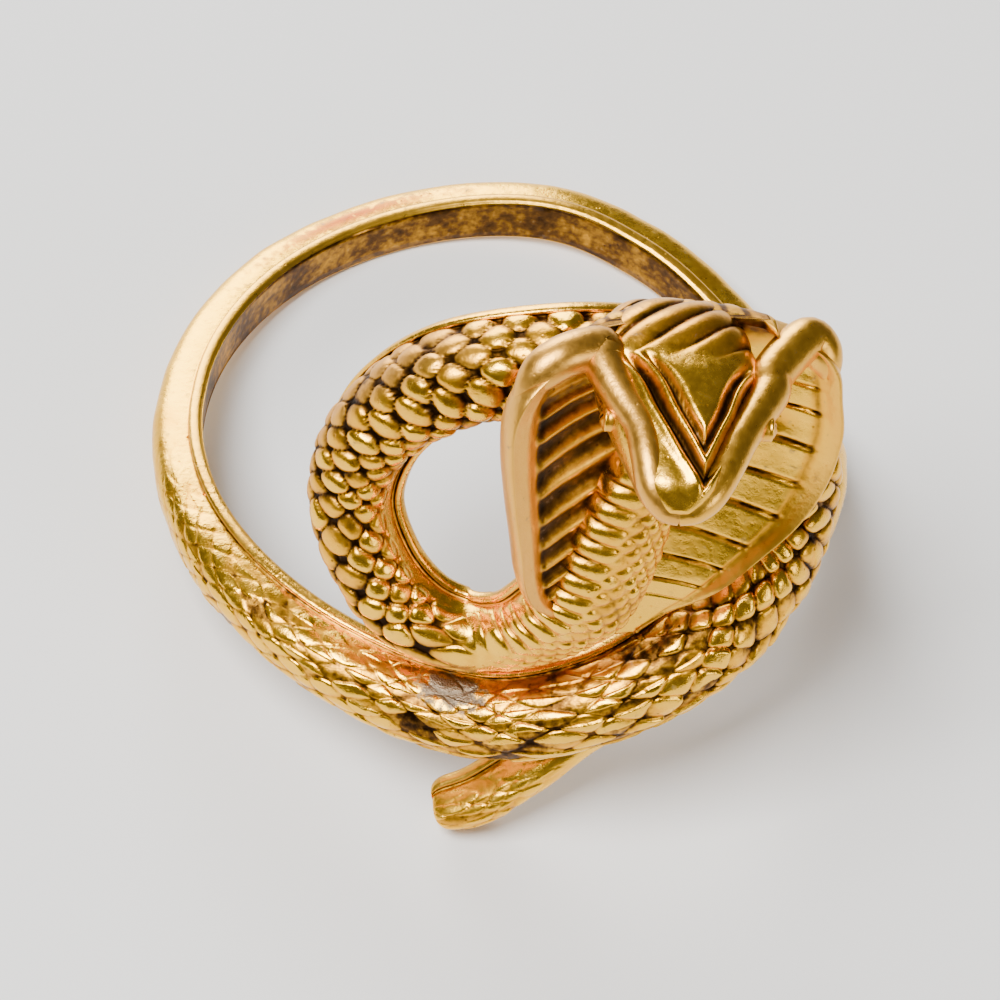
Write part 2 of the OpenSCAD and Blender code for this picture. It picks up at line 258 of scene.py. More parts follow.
def section_counts():
    """Number of the source's sections before each row, so that the scales fall in the same places.

    Sections are half a scale apart where the relief is over 0.2, and PLAIN_STEP apart elsewhere, rounded to
    an even number between two rows.
    """
    flat = np.stack([np.radians(ROUTE[:, 0]) * FINGER_R, ROUTE[:, 1] * COIL_RISE], -1)
    length = np.linalg.norm(np.diff(flat, axis=0), axis=1)
    relief = np.maximum(np.abs(ROUTE[:-1, 4]), np.abs(ROUTE[1:, 4]))
    step = np.where(relief > 0.2, SCALE_PITCH / 2, PLAIN_STEP)
    count = np.maximum(2, 2 * np.floor(length / step / 2 + 0.5))
    return np.concatenate([[0], np.cumsum(count)]), count


SECTIONS_BEFORE, SECTIONS_IN = section_counts()


def section_number(u):
    """Continuous section number at route row u."""
    i = np.clip(np.floor(u).astype(int), 0, len(SECTIONS_IN) - 1)
    return SECTIONS_BEFORE[i] + (u - i) * SECTIONS_IN[i]


def route_length(samples):
    """Way along the middle of the body's back, in millimetres, at evenly spaced route places."""
    u = np.linspace(0, len(ROUTE) - 1, samples)
    row = row_at(ROUTE, u)
    r = FINGER_R + row[:, 2] * BODY_T + body_size(row)[1][:, 0]
    step = np.linalg.norm(np.diff(round_finger(row[:, 0], row[:, 1] * COIL_RISE, r), axis=0), axis=1)
    return u, np.concatenate([[0], np.cumsum(step)])


LENGTH_ROWS, LENGTH_MM = route_length(samples=1201)

# Step each way along the route, in rows, from which its direction is taken
ROUTE_STEP = 0.02
# The tail tip is rounded over its first rows, from this share of its full size
TAIL_ROWS, TAIL_TIP = 0.6, 0.55


def place_sections(u, row, section):
    """Carries sections, as [sideways, away from the finger], round the finger.

    A section stands square to the route. It is rolled by the loop's tilt where the body is thin, by the
    cosine of its angle round the finger, and the tail tip is drawn in along a quarter circle.
    """
    ahead_row, behind_row = row_at(ROUTE, u + ROUTE_STEP), row_at(ROUTE, u - ROUTE_STEP)
    change = ahead_row - behind_row
    ahead = np.stack([np.radians(change[:, 0]) * FINGER_R, change[:, 1] * COIL_RISE], -1)
    side = np.stack([-ahead[:, 1], ahead[:, 0]], -1) / np.linalg.norm(ahead, axis=1)[:, None]
    growth = np.clip(row[:, 3], 0, 1)
    roll = np.radians(LOOP_TILT * np.cos(np.radians(row[:, 0])) * (1 - growth))[:, None]
    from_full = 1 - np.clip(u / TAIL_ROWS, 0, 1)
    size = (TAIL_TIP + (1 - TAIL_TIP) * np.sqrt(1 - from_full**2))[:, None]
    half = body_size(row)[0] / 2
    base = FINGER_R + row[:, 2][:, None] * BODY_T + half * np.abs(np.sin(roll)) + (1 - size) * SHANK_T / 2
    x, y = section[..., 0] * size, section[..., 1] * size
    out, up = x * np.cos(roll) - y * np.sin(roll), x * np.sin(roll) + y * np.cos(roll)
    angle = row[:, 0][:, None] + np.degrees(out * side[:, 0][:, None] / base)
    along = row[:, 1][:, None] * COIL_RISE + out * side[:, 1][:, None]
    return round_finger(angle, along, base + up)


# ---- Relief of the body: scales and belly plates ----
# Share of the source's places across the back that a step across the coil's scales takes: they are wider
COIL_WIDER = 0.66
# How far the lattice of the scales wanders, in cells, on the band and on the coil
WANDER_BAND, WANDER_COIL = 0.5, 0.3
# Sizes of the random patterns' largest cells, in millimetres
WANDER_CELL, WORN_CELL, CHIP_CELL, DENT_CELL, FINE_DENT_CELL = 1.5, 1.3, 0.9, 2.2, 0.7
# Height of the chips, as a share of a scale's, and of the dents in millimetres
CHIP_H, DENT_H = 0.14, 0.025
# The coil's relief: least share of it at the outer edge, and where in j it dies away at the inner edge
COIL_OUTER_LEAST, COIL_INNER_J = 0.85, (10.2, 11.4)
# Belly plates: how far they wander along the neck, and the size of that wander's cells, in millimetres
PLATES_WANDER, PLATES_CELL = 0.06, 1.0
# Their places in j: soft edges of their stretch, where they bow forward, and the slits in their middle
PLATES_RISE, PLATES_FALL = (5.8, 7.2), (11.2, 12.0)
PLATES_BOW_AT, PLATES_BOW = 9, 0.012
SLIT_AT, SLIT_WIDTH = 9.2, 1.4
# Small scales beside them: way along for each, step for each j, and the soft edges of their stretch in j
FLANK_PITCH, FLANK_STEP = 0.62, 0.8
FLANK_RISE, FLANK_FALL = (0.4, 1.4), (10.8, 11.9)
# The coil's rubbed, tan outer left flank: soft edges in u, and in j
COIL_TAN_RISE, COIL_TAN_FALL, COIL_TAN_J = (28.2, 29.6), (32, 33.5), (2.4, 5.4)
# The stretch of the band under the neck with painted shade, darker and red-brown: soft edges in u, and in j
SHADED_RISE, SHADED_FALL, SHADED_J = (18.6, 19.4), (22.5, 23.5), (9.0, 10.8)


def scale_cells(k, j):
    """Diamond cells of the scales: offsets from the cell's middle, -0.5 to 0.5, and the cell's numbers."""
    a, b = (j + k) / 2, (j - k) / 2
    ia, ib = np.floor(a + 0.5), np.floor(b + 0.5)
    return a - ia, b - ib, ia.astype(np.int64), ib.astype(np.int64)


def scale_shape(da, db, power, fullness):
    """Rounded diamond: 1 in the middle of a cell, 0 at its edge, flatter where fullness is small."""
    rho = (np.abs(2 * da) ** power + np.abs(2 * db) ** power) ** (1 / power)
    return np.clip(1 - rho**2, 0, 1) ** fullness


def scale_luck(cell):
    """Three random numbers for each scale: its height from 0 to 1, and its two slopes from -0.5 to 0.5."""
    ia, ib = cell
    luck, tilt, lean = (lattice_value(ia, ib, 0 * ia, seed) for seed in (SEED_LUCK, SEED_TILT, SEED_LEAN))
    return luck, tilt - 0.5, lean - 0.5


def coil_tan(u, j):
    """Tan mask of the coil: its outer left flank is rubbed flat and looks tan."""
    return between(u, COIL_TAN_RISE, COIL_TAN_FALL) * (1 - smooth_step(j, *COIL_TAN_J))


def coil_scales(da, db, cell, u, j):
    """Plump scales of the coil: height and crevice mask.

    Each is a rounded diamond with its own height and slopes, cut off flat at its own level, and lower where
    the coil is rubbed tan.
    """
    luck, tilt, lean = scale_luck(cell)
    height = scale_shape(da, db, 3.0, 0.42)
    height = height * (0.72 + 0.34 * luck + 0.6 * tilt * (da + db) + 0.5 * lean * (da - db))
    height = np.minimum(height, 0.78 + 0.2 * luck) * (1 - 0.45 * coil_tan(u, j))
    return height, 0.04 + 0.96 * np.clip(height, 0, 1) * (0.8 + 0.4 * luck)


def band_scales(da, db, cell, u, points):
    """Worn, squarish scales of the band: height and crevice mask.

    Each is a square diamond with its own height and slopes. By the table of wear some are gone, and of
    some one half is gone. They are cut off at a level that wanders, and carry sharp little chips.
    """
    luck, tilt, lean = scale_luck(cell)
    left_of_height = np.interp(u, WEAR_ROWS[:, 0], WEAR_ROWS[:, 1])
    gone_share = np.interp(u, WEAR_ROWS[:, 0], WEAR_ROWS[:, 2])
    blocks = scale_shape(da, db, 4.0, 0.3)
    blocks = blocks * (0.5 + 0.5 * luck + 1.3 * tilt * (da - db) + 0.8 * lean * (da + db))
    half_luck = lattice_value(*cell, 0 * cell[0], SEED_HALF)
    half_gone = np.where(da + db > 0, half_luck, 1 - half_luck) < 1.3 * gone_share
    blocks = np.where(luck < 0.4 * gone_share, 0.15 * blocks, np.where(half_gone, 0.3 * blocks, blocks))
    worn = 0.5 + 0.5 * rough_grain(points, WORN_CELL, SEED_WORN)
    chips = crumple(points, CHIP_CELL, SEED_CHIPS) * (0.3 + 0.7 * worn)
    height = np.minimum(blocks, 0.6 + 0.35 * worn) * left_of_height + CHIP_H * chips
    return height, 0.04 + 0.4 * (1 - left_of_height / FRESH_HEIGHT) + 1.15 * blocks


def belly_plates(u, j, points):
    """Plates on the left of the neck and small scales on its right: height and crevice mask.

    The plates are rounded bars across the way along the neck, bowed as the square of the way from their
    middle; they are deepest in a slit there.
    """
    way = np.interp(u, LENGTH_ROWS, LENGTH_MM) + PLATES_WANDER * grain(points, PLATES_CELL, SEED_PLATES)
    part = (way + PLATES_BOW * (j - PLATES_BOW_AT) ** 2) / PLATE_PITCH
    part = part - np.floor(part)
    bar = np.clip(1 - np.abs(2 * part - 1) ** 2.4, 0, 1) ** 0.8
    window = between(j, PLATES_RISE, PLATES_FALL)
    slit = bump_at(j, SLIT_AT, SLIT_WIDTH)
    plates = bar * (0.55 + 0.45 * slit)
    a, b = way / FLANK_PITCH + j * FLANK_STEP, way / FLANK_PITCH - j * FLANK_STEP
    ia, ib = np.floor(a + 0.5), np.floor(b + 0.5)
    luck = lattice_value(ia.astype(np.int64), ib.astype(np.int64), 3, SEED_FLANK)
    small = scale_shape(a - ia, b - ib, 2.6, 0.6) * (0.5 + 0.6 * luck)
    flank = between(j, FLANK_RISE, FLANK_FALL)
    height = window * plates + 0.55 * (1 - window) * flank * small
    mask = window * (1 - (1 - bar) * (0.35 + 0.65 * slit)) + (1 - window) * (0.5 + 0.35 * small)
    return height, mask


def body_relief(u, j, points):
    """Height of the relief over the back, in millimetres, and the crevice mask, 0 in the deepest places.

    The band's scales turn into the coil's just before COIL_ROW. The lattice of both wanders a little. The
    relief dies away towards the lips, on the coil at its inner edge only.
    """
    share = row_at(ROUTE, u)[..., 4]
    scaly, plated = np.clip(share, 0, 1), np.clip(-share, 0, 1)
    on_coil = smooth_step(u, COIL_ROW - 2.5, COIL_ROW - 0.5)
    drift = WANDER_BAND + (WANDER_COIL - WANDER_BAND) * on_coil
    across = j * (1 - (1 - COIL_WIDER) * on_coil)
    k = section_number(u) + drift * grain(points, WANDER_CELL, SEED_ALONG)
    da, db, *cell = scale_cells(k, across + drift * grain(points, WANDER_CELL, SEED_ACROSS))
    round_height, round_mask = coil_scales(da, db, cell, u, j)
    worn_height, worn_mask = band_scales(da, db, cell, u, points)
    plate_height, plate_mask = belly_plates(u, j, points)
    scale_height = (1 - on_coil) * worn_height + on_coil * round_height
    scale_mask = (1 - on_coil) * worn_mask + on_coil * round_mask

    fade = np.sin(np.pi * np.clip(j / (DOME_N - 1), 0, 1))
    edges = fade**0.35
    outer, inner = np.maximum(edges, COIL_OUTER_LEAST), edges * (1 - smooth_step(j, *COIL_INNER_J))
    edges = (1 - on_coil) * edges + on_coil * np.where(j < (DOME_N - 1) / 2, outer, inner)
    height = 1.1 * SCALE_H * scaly * edges * scale_height + PLATE_H * plated * fade**0.5 * plate_height
    dents = rough_grain(points, DENT_CELL, SEED_DENTS) - 1.6
    dents = dents + 0.6 * grain(points, FINE_DENT_CELL, SEED_FINE_DENTS)
    height = height + DENT_H * dents * (1 - 0.6 * on_coil) * fade**0.5
    smooth = 1 - np.clip(1.6 * scaly + plated, 0, 1) * edges
    carved = (scaly * scale_mask + plated * plate_mask) / np.maximum(scaly + plated, 0.3)
    return height, np.clip(smooth + (1 - smooth) * carved, 0, 1)


# ---- Skin of the body ----
# Lip along one side of the body, as [inwards from the side, away from the finger]; the last two points lie
# in the groove beside it
LIP = np.array([
    [0.12, 0.0], [0.03, 0.03], [0.0, 0.12], [0.0, LIP_T - 0.12], [0.03, LIP_T - 0.03], [0.09, LIP_T],
    [0.15, LIP_T - 0.03], [LIP_W + 0.01, LIP_T - 0.1],
])
LIP_N, GROOVE_N = len(LIP), 2
# Points across the flat finger side, out to this share of its half width
FLAT_N, FLAT_SHARE = 7, 0.88
# First place on the back, in j; the last is as far from the other lip
DOME_START = 0.12


def body_points(u, dome_count, dive):
    """Points of the body at the route rows u, and their masks.

    Each section is a closed line: the flat finger side with rounded corners, a lip, a groove, the
    rounded back with its relief, and the other groove and lip. It stands across the route, rolled
    with the loop's tilt, and is carried round the finger. dive, in millimetres, draws a section in
    on all sides, so that a stretch slips under its neighbour without a seam.
    """
    row = row_at(ROUTE, u)
    w, t = body_size(row)
    lip_x, lip_y = LIP[:, 0] + 0 * w, LIP[:, 1] + 0 * w
    first_lip = np.stack([-w / 2 + lip_x, lip_y], -1)
    last_lip = np.stack([w / 2 - lip_x, lip_y], -1)[:, ::-1]
    flat = np.stack([w / 2 * np.linspace(FLAT_SHARE, -FLAT_SHARE, FLAT_N), np.zeros((len(u), FLAT_N))], -1)
    j = np.linspace(DOME_START, DOME_N - 1 - DOME_START, dome_count)
    a = np.pi * (1 - j / (DOME_N - 1))
    across = np.sign(np.cos(a)) * np.abs(np.cos(a)) ** (2 / DOME_POWER)
    over = np.sin(a) ** (2 / DOME_POWER)
    dome = np.stack([(w / 2 - LIP_W) * across, LIP_T + (t - LIP_T) * over], -1)
    uu, jj = u[:, None] + 0 * j, j[None, :] + 0 * u[:, None]
    height, hollow = body_relief(uu, jj, place_sections(u, row, dome))
    dome = dome + height[..., None] * np.stack([np.cos(a), np.sin(a)], -1)
    section = np.concatenate([first_lip, dome, last_lip, flat], 1)
    middle = np.stack([0 * t, t / 2], -1)
    section = middle + (section - middle) * (1 - dive[:, None] / (t / 2))[..., None]

    def all_round(lips, back, flat_side):
        """Mask round the section, from its values on the lips, on the back and on the flat side."""
        lips = np.broadcast_to(lips, (len(u), LIP_N))
        return np.concatenate([lips, back, lips[:, ::-1], np.full((len(u), FLAT_N), flat_side)], 1)

    groove = np.where(np.arange(LIP_N) < LIP_N - GROOVE_N, 1, 0.18)
    # Painted shade on the band under the neck: it is made darker and red-brown
    shaded = between(uu, SHADED_RISE, SHADED_FALL) * smooth_step(jj, *SHADED_J)
    streak = bump_at(uu, *STREAK_U) * bump_at(jj, *STREAK_J)
    return place_sections(u, row, section), masks_of(
        crevice_and_shade=all_round(groove, hollow * (1 - 0.4 * shaded), 0.36),
        tan=all_round(0.3, coil_tan(uu, jj), 0.0),
        grey=all_round(0.0, bump_at(uu, *GREY_U) * bump_at(jj, *GREY_J), 0.0),
        stain_and_shade=all_round(0.0, streak + 0.6 * shaded, 0.0),
    )


# ---- The hood ----
# Points round each edge roll; how far the roll stands out past the hood's edge, and how far it is set in
EDGE_N, EDGE_OUT, EDGE_IN = 14, 0.16, 0.14
# Soft edges, in along, of the stretch with ribs, of the thinning of the roll, and of the painted shade at the
# top
RIBS_RISE, RIBS_FALL = (-0.55, -0.42), (0.12, 0.24)
ROLL_THINS, TOP_SHADE = (-0.58, -0.4), (0.26, 0.32)
# Place of the front at which the roll begins, from 0 at the column to 1 at the edge, left and right
ROLL_LEFT, ROLL_RIGHT = 0.76, 0.86
# Ribs for each step up the hood, and for the way from the column to the edge, left and right
RIBS_LEFT, RIBS_RIGHT = (0.62, 1.5), (0.5, 0.65)
# Soft edge of the plain column between the lobes, from 0 at its middle to 1 at the hood's edge
COLUMN_EDGE = (0.12, 0.26)
# Pit in the right lobe: place across and along, its width each way, and its depth in millimetres
PIT_AT, PIT_WIDTH, PIT_DEPTH = (0.62, 0.06), (0.13, 0.03), 0.12
# Sizes of the cells by which the ribs wander, of the dots in the grooves and of the lumps, and the lumps'
# height, in millimetres
RIB_CELL, DOT_CELL, LUMP_CELL, LUMP_H = 1.5, 0.3, 2.0, 0.05


def in_hood(sideways, out, up):
    """Point of the hood's own frame in the finger's frame."""
    r = FINGER_R + BODY_T + 0.8 * HOOD_T + out
    c, s = np.cos(np.radians(HOOD_ANGLE)), np.sin(np.radians(HOOD_ANGLE))
    return np.stack([sideways * c + r * s, sideways * s - r * c, HOOD_RISE * COIL_RISE + up], -1)


def hood_front(step, v, along, rim, spot):
    """Relief on the front of the hood, its mask of crevices and painted shade, and the share of the edge's
    roll.

    The left lobe has narrow round ribs, the right lobe broad flat ones with thin dotted grooves. Both slant,
    since their count goes up with the step and with the way from the column. The roll rises at the edges.
    The mask carries painted shade: the left lobe is darker than the right, and the front darkens towards the
    top.
    """
    aside, on_left = np.abs(v), v < 0
    by_step, by_aside = (np.where(on_left, *pair) for pair in zip(RIBS_LEFT, RIBS_RIGHT))
    count = by_step * step + by_aside * aside + 0.1 * grain(spot, RIB_CELL, SEED_RIBS)
    part = count - np.floor(count)
    narrow = bump_at(part, 0.5, 0.24)
    broad = 1 - bump_at(np.abs(part - 0.5), 0.5, 0.06)
    roll_at = np.where(on_left, ROLL_LEFT, ROLL_RIGHT)
    roll = smooth_step(aside, roll_at + 0.02, roll_at + 0.14)
    ribbed = between(aside, COLUMN_EDGE, (roll_at, roll_at + 0.08)) * between(along, RIBS_RISE, RIBS_FALL)
    lump = LUMP_H * rough_grain(spot, LUMP_CELL, SEED_LUMPS)
    pit = np.exp(-(((v - PIT_AT[0]) / PIT_WIDTH[0]) ** 2) - ((along - PIT_AT[1]) / PIT_WIDTH[1]) ** 2)
    ribs = RIB_H * np.where(on_left, 1.5 * narrow, broad) * ribbed
    relief = roll * rim + (1 - roll) * (ribs + lump - PIT_DEPTH * pit)

    dots = smooth_step(grain(spot, DOT_CELL, SEED_DOTS), -0.35, 0.25)
    # Painted shade: the left lobe's front is set darker than the right's
    left_mask = 0.52 - ribbed * (0.3 - 0.38 * narrow)
    right_mask = 0.95 - ribbed * (1 - broad) * (0.35 + 0.5 * dots)
    mask = roll * 0.9 + (1 - roll) * (np.where(on_left, left_mask, right_mask) - 0.5 * pit)
    mask = mask - np.where(on_left, 0.15, 0.45) * bump_at(aside, roll_at + 0.03, 0.03)
    # Painted shade: the front darkens towards the top
    mask = mask * (1 - 0.65 * smooth_step(along, *TOP_SHADE) * (1 - roll))
    return relief, mask, roll


def hood_points(along_count, across_count):
    """Closed skin of the hood and its masks.

    Along: the rows of the table, then a few rings that round the upper and lower ends off. Around: over
    the front from the right rim to the left rim, round the left rim, over the back, and round the right
    rim. The front sinks between the rims as the square of the way to them, and carries ribs; the rim is
    a rounded roll.
    """
    turn_off = np.linspace(np.pi / 2, 0, END_N + 1)[:-1]
    ends = np.concatenate([turn_off, np.zeros(along_count), turn_off[::-1]])[:, None]
    step = np.concatenate([0 * turn_off, np.linspace(0, HOOD_STEPS, along_count), HOOD_STEPS + 0 * turn_off])
    row = row_at(HOOD_ROWS, step * (len(HOOD_ROWS) - 1) / HOOD_STEPS)
    along, left, right, column, dish = [row[:, c][:, None] for c in range(5)]
    step = step[:, None]
    # The roll thins towards the lower end, where the hood runs out on to the neck
    rim = (RIM_T - HOOD_T) * (0.15 + 0.85 * smooth_step(along, *ROLL_THINS))

    def sideways(v):
        """Way from the hood's middle in millimetres, from -1 at the left edge to 1 at the right."""
        return (column + np.where(v < 0, column - left, right - column) * v) * HOOD_W / 2

    v = np.linspace(1, -1, across_count) + 0 * step
    spot = in_hood(sideways(v), 0 * v, along * HOOD_L + 0 * v)
    relief, front_mask, roll = hood_front(step, v, along, rim, spot)
    front = HOOD_DISH * dish * v**2 + relief

    back_v = np.linspace(-1, 1, across_count // 2) + 0 * step
    da, db, _, _ = scale_cells(step * 0.9, (back_v + 1) * 9)
    back_rim = smooth_step(np.abs(back_v), 0.75, 0.95)
    back_scales = scale_shape(da, db, 2.4, 0.6) * (1 - back_rim)
    back = HOOD_DISH * dish * back_v**2 - HOOD_T - 0.1 * back_scales

    half = (rim + HOOD_T) / 2
    middle = HOOD_DISH * dish + rim - half
    turn = np.linspace(0, np.pi, EDGE_N + 2)[1:-1] + 0 * step
    left_x = sideways(-1.0 + 0 * step) - EDGE_OUT * np.sin(turn) + EDGE_IN
    right_x = sideways(1.0 + 0 * step) + EDGE_OUT * np.sin(turn[:, ::-1]) - EDGE_IN
    x = np.concatenate([sideways(v * 0.97), left_x, sideways(back_v * 0.96), right_x], 1)
    y = np.concatenate([front, middle + half * np.cos(turn), back, middle + half * np.cos(turn[:, ::-1])], 1)
    # The ends are rounded off: thinner and a little further in the last rings
    half_width = HOOD_W / 2 * np.maximum(0.1, (right - left) / 2)
    centre = np.minimum(HOOD_DISH * dish * (x / half_width) ** 2 + (rim - HOOD_T) / 2, middle)
    thin = np.cos(ends)
    y = centre + (y - centre) * thin
    x = x * (1 - 0.02 * (1 - thin))
    z = along * HOOD_L + np.where(step < 1, -1, 1) * END_ROUND * np.sin(ends) + 0 * x

    def all_round(*values):
        """Mask round the section, from its values on the front, the left rim, the back and the right rim."""
        return np.concatenate([value + 0 * part for value, part in zip(values, (v, turn, back_v, turn))], 1)

    # The left lobe's front is also tinted red-brown as painted shade
    return in_hood(x, y, z), masks_of(
        crevice_and_shade=all_round(front_mask, 0.9, 0.3 + 0.5 * back_scales, 0.9),
        tan=0.75 * all_round(roll, 1, back_rim, 1) * (0.6 + 0.4 * all_round(v < 0, 1, 1, 0)),
        stain_and_shade=all_round(np.where(v < 0, 0.35, 0.0) * (1 - roll), 0, 0, 0),
    )


# ---- The head ----
# Soft edges, in along, of the stretches of the crown that carry the V and the nape's strands
V_RISE, V_FALL = (0.06, 0.22), (0.9, 0.98)
NAPE_RISE, NAPE_FALL = (-0.5, -0.38), (-0.02, 0.16)
# Flat place inside the V: its soft edge, counted forward from the V's point, and its height
PLATEAU_EDGE, PLATEAU_H = (-1.5, -1.1), 0.08
# Strands on the nape: how many across half the head, and along HEAD_L
STRANDS_ACROSS, STRANDS_ALONG = 1.9, 5.2
# Where the snout begins to round off, in along
SNOUT_FROM = 0.86


def in_head(sideways, forward_out, up_from):
    """Point of the head's own frame in the finger's frame."""
    d, t = np.radians(HEAD_DOWN), np.radians(HEAD_TURN)
    forward = forward_out * np.cos(d) + up_from * np.sin(d)
    up = up_from * np.cos(d) - forward_out * np.sin(d)
    return in_hood(
        HEAD_SEAT[0] * HOOD_W / 2 + sideways * np.cos(t) - forward * np.sin(t),
        HEAD_SEAT[2] * HOOD_DISH + forward * np.cos(t) + sideways * np.sin(t),
        HEAD_SEAT[1] * HOOD_L + up,
    )


def head_points(along_count, around_count):
    """Closed skin of the head and its masks.

    Each section is a rounded lens between the two jaws. The crown carries two nested V grooves that point
    to the snout, with ridges between them; the nape carries slanting strands. The snout is rounded off.
    """
    row = row_at(HEAD_ROWS, np.linspace(0, len(HEAD_ROWS) - 1, along_count))
    along, half, level, up, down = [row[:, c][:, None] for c in range(5)]
    a = np.linspace(0, 2 * np.pi, around_count, endpoint=False)[None, :] + 0 * along
    x = -np.sign(np.cos(a)) * np.abs(np.cos(a)) ** 0.8
    rise = np.clip(1 - np.abs(x) ** 3, 0, 1) ** 0.5
    top = np.sin(a) > 0

    off = x * half * HEAD_W / 2 - V_POINT[0]
    ahead = along * HEAD_L - V_POINT[1] + np.where(off < 0, -off / V_LEFT, off / V_RIGHT)
    ahead = ahead + V_WANDER * grain(in_head(x * half, along * HEAD_L, up + 0 * x), V_CELL, SEED_V)
    folds = sum(height * bump_at(ahead, place, width) for place, width, height in V_GROOVES + V_RIDGES)
    outer, inner = (bump_at(ahead, place, width) for place, width, _ in V_GROOVES)
    plateau = PLATEAU_H * (1 - smooth_step(ahead, *PLATEAU_EDGE))
    on_v = between(along, V_RISE, V_FALL) * (1 - smooth_step(np.abs(x), 0.9, 0.98))
    crown = 0.92 * rise + on_v * (folds + plateau) / HEAD_H / 0.45

    on_nape = between(along, NAPE_RISE, NAPE_FALL) * top
    slant = x * half * STRANDS_ACROSS + along * STRANDS_ALONG
    strand = np.abs(2 * (slant - np.floor(slant + 0.5)))
    strands = np.clip(1 - strand**2.2, 0, 1) ** 0.6
    z = np.where(top, up * (crown + 0.16 * on_nape * (strands - 0.6)), -down * rise)
    snout = np.clip((along - SNOUT_FROM) / (1 - SNOUT_FROM), 0, 1)
    narrow = np.sqrt(1 - 0.86 * snout**2.2)
    points = in_head(x * half * HEAD_W / 2 * narrow, along * HEAD_L, (level + z * narrow) * HEAD_H)

    on_crown = np.where(top, 0.92 - on_v * np.maximum(0.85 * outer, 0.75 * inner), 0.45)
    return points, masks_of(
        crevice_and_shade=on_crown * (1 - on_nape) + on_nape * (0.05 + 0.6 * strands),
        tan=np.where(top, 0.15, 0.5) * (1 - on_nape) + 0.2 * on_nape,
        stain_and_shade=0.45 * on_nape,
    )


def arch_points(side, along_count, around_count):
    """Rolled rim that arches from the hood's edge over onto the head: a tube along a curve.

    side 1 is the left and 2 the right; the curve runs through places of the hood's rim and then along the
    outer edge of the head down to the snout. The tube is thin at its start, where it sinks into the rim,
    swells a little before the arch, and gets thinner towards the snout.
    """
    out_of_dish = HOOD_DISH * 0.9 + RIM_T - HOOD_T - RIM_T / 2
    places = []
    for hood_row, out in ARCH_ON_HOOD[side - 1]:
        row = row_at(HOOD_ROWS, np.array([hood_row]))[0]
        aside = row[side] * HOOD_W / 2 * 0.95
        places.append(in_hood(aside, out_of_dish * row[4] ** 0.5 + out, row[0] * HOOD_L))
    for along, share, up in ARCH_ON_HEAD[side - 1]:
        half = np.interp(along, HEAD_ROWS[:, 0], HEAD_ROWS[:, 1])
        places.append(in_head(share * half * HEAD_W / 2, along * HEAD_L, (up - ARCH_BED) * HEAD_H))
    line = row_at(np.array(places), np.linspace(0, len(places) - 1, along_count))
    ahead = np.gradient(line, axis=0)
    ahead /= np.linalg.norm(ahead, axis=1)[:, None]
    first = np.cross(ahead, line * [1, 1, 0])
    first /= np.linalg.norm(first, axis=1)[:, None]
    second = np.cross(ahead, first)
    s = np.linspace(0, 1, along_count)
    radius = ARCH_R * (1 - 0.75 * (1 - smooth_step(s, 0, 0.14)) + 0.12 * bump_at(s, 0.25, 0.12))
    radius = radius * (1 - 0.12 * smooth_step(s, 0.4, 0.6) - 0.2 * smooth_step(s, 0.8, 1))
    b = np.linspace(0, 2 * np.pi, around_count, endpoint=False)[None, :, None]
    around = np.cos(b) * first[:, None] + np.sin(b) * second[:, None]
    points = line[:, None] + radius[:, None, None] * around
    return points, masks_of(0.88 + 0 * points[..., 0], tan=0.85 if side == 1 else 0.5)


def eye_points(side, ring_count, around_count):
    """Eye in the side of the head, under the arched rim; side 1 left, 2 right.

    A ball on a grid of rings from pole to pole, with a raised lid round it and an upright slit in its face.
    """
    a = np.linspace(EYE_POLE, np.pi - EYE_POLE, ring_count)[:, None]
    b = np.linspace(0, 2 * np.pi, around_count, endpoint=False)[None, :]
    facing = np.sin(a) * np.cos(b) * (-1 if side == 1 else 1)
    lid = bump_at(facing, 0.5, 0.12)
    slit = bump_at(np.sin(a) * np.sin(b), 0, 0.14) * smooth_step(facing, 0.7, 0.85)
    r = EYE_D / 2 * (1 + EYE_LID * lid - EYE_SLIT * slit)
    points = in_head(
        EYE_AT[side] * HEAD_W / 2 + r * np.sin(a) * np.cos(b), EYE_AT[0] * HEAD_L + r * np.sin(a) * np.sin(b),
        EYE_AT[3] * HEAD_H + r * np.cos(a),
    )
    return points, masks_of(0.7 - 0.6 * slit + 0.2 * lid, tan=0.3)


# ---- Meshes ----
# Rings that close an end, from the inside out, as shares of the end ring's size
CAP_RINGS = (0.02, 0.6)


def close_ends(grid):
    """Adds two rings inside each end ring of a grid, so that the tube ends in flat caps."""
    first, last = grid[0].mean(0), grid[-1].mean(0)
    start = np.stack([first + (grid[0] - first) * s for s in CAP_RINGS])
    end = np.stack([last + (grid[-1] - last) * s for s in CAP_RINGS[::-1]])
    return np.concatenate([start, grid, end])


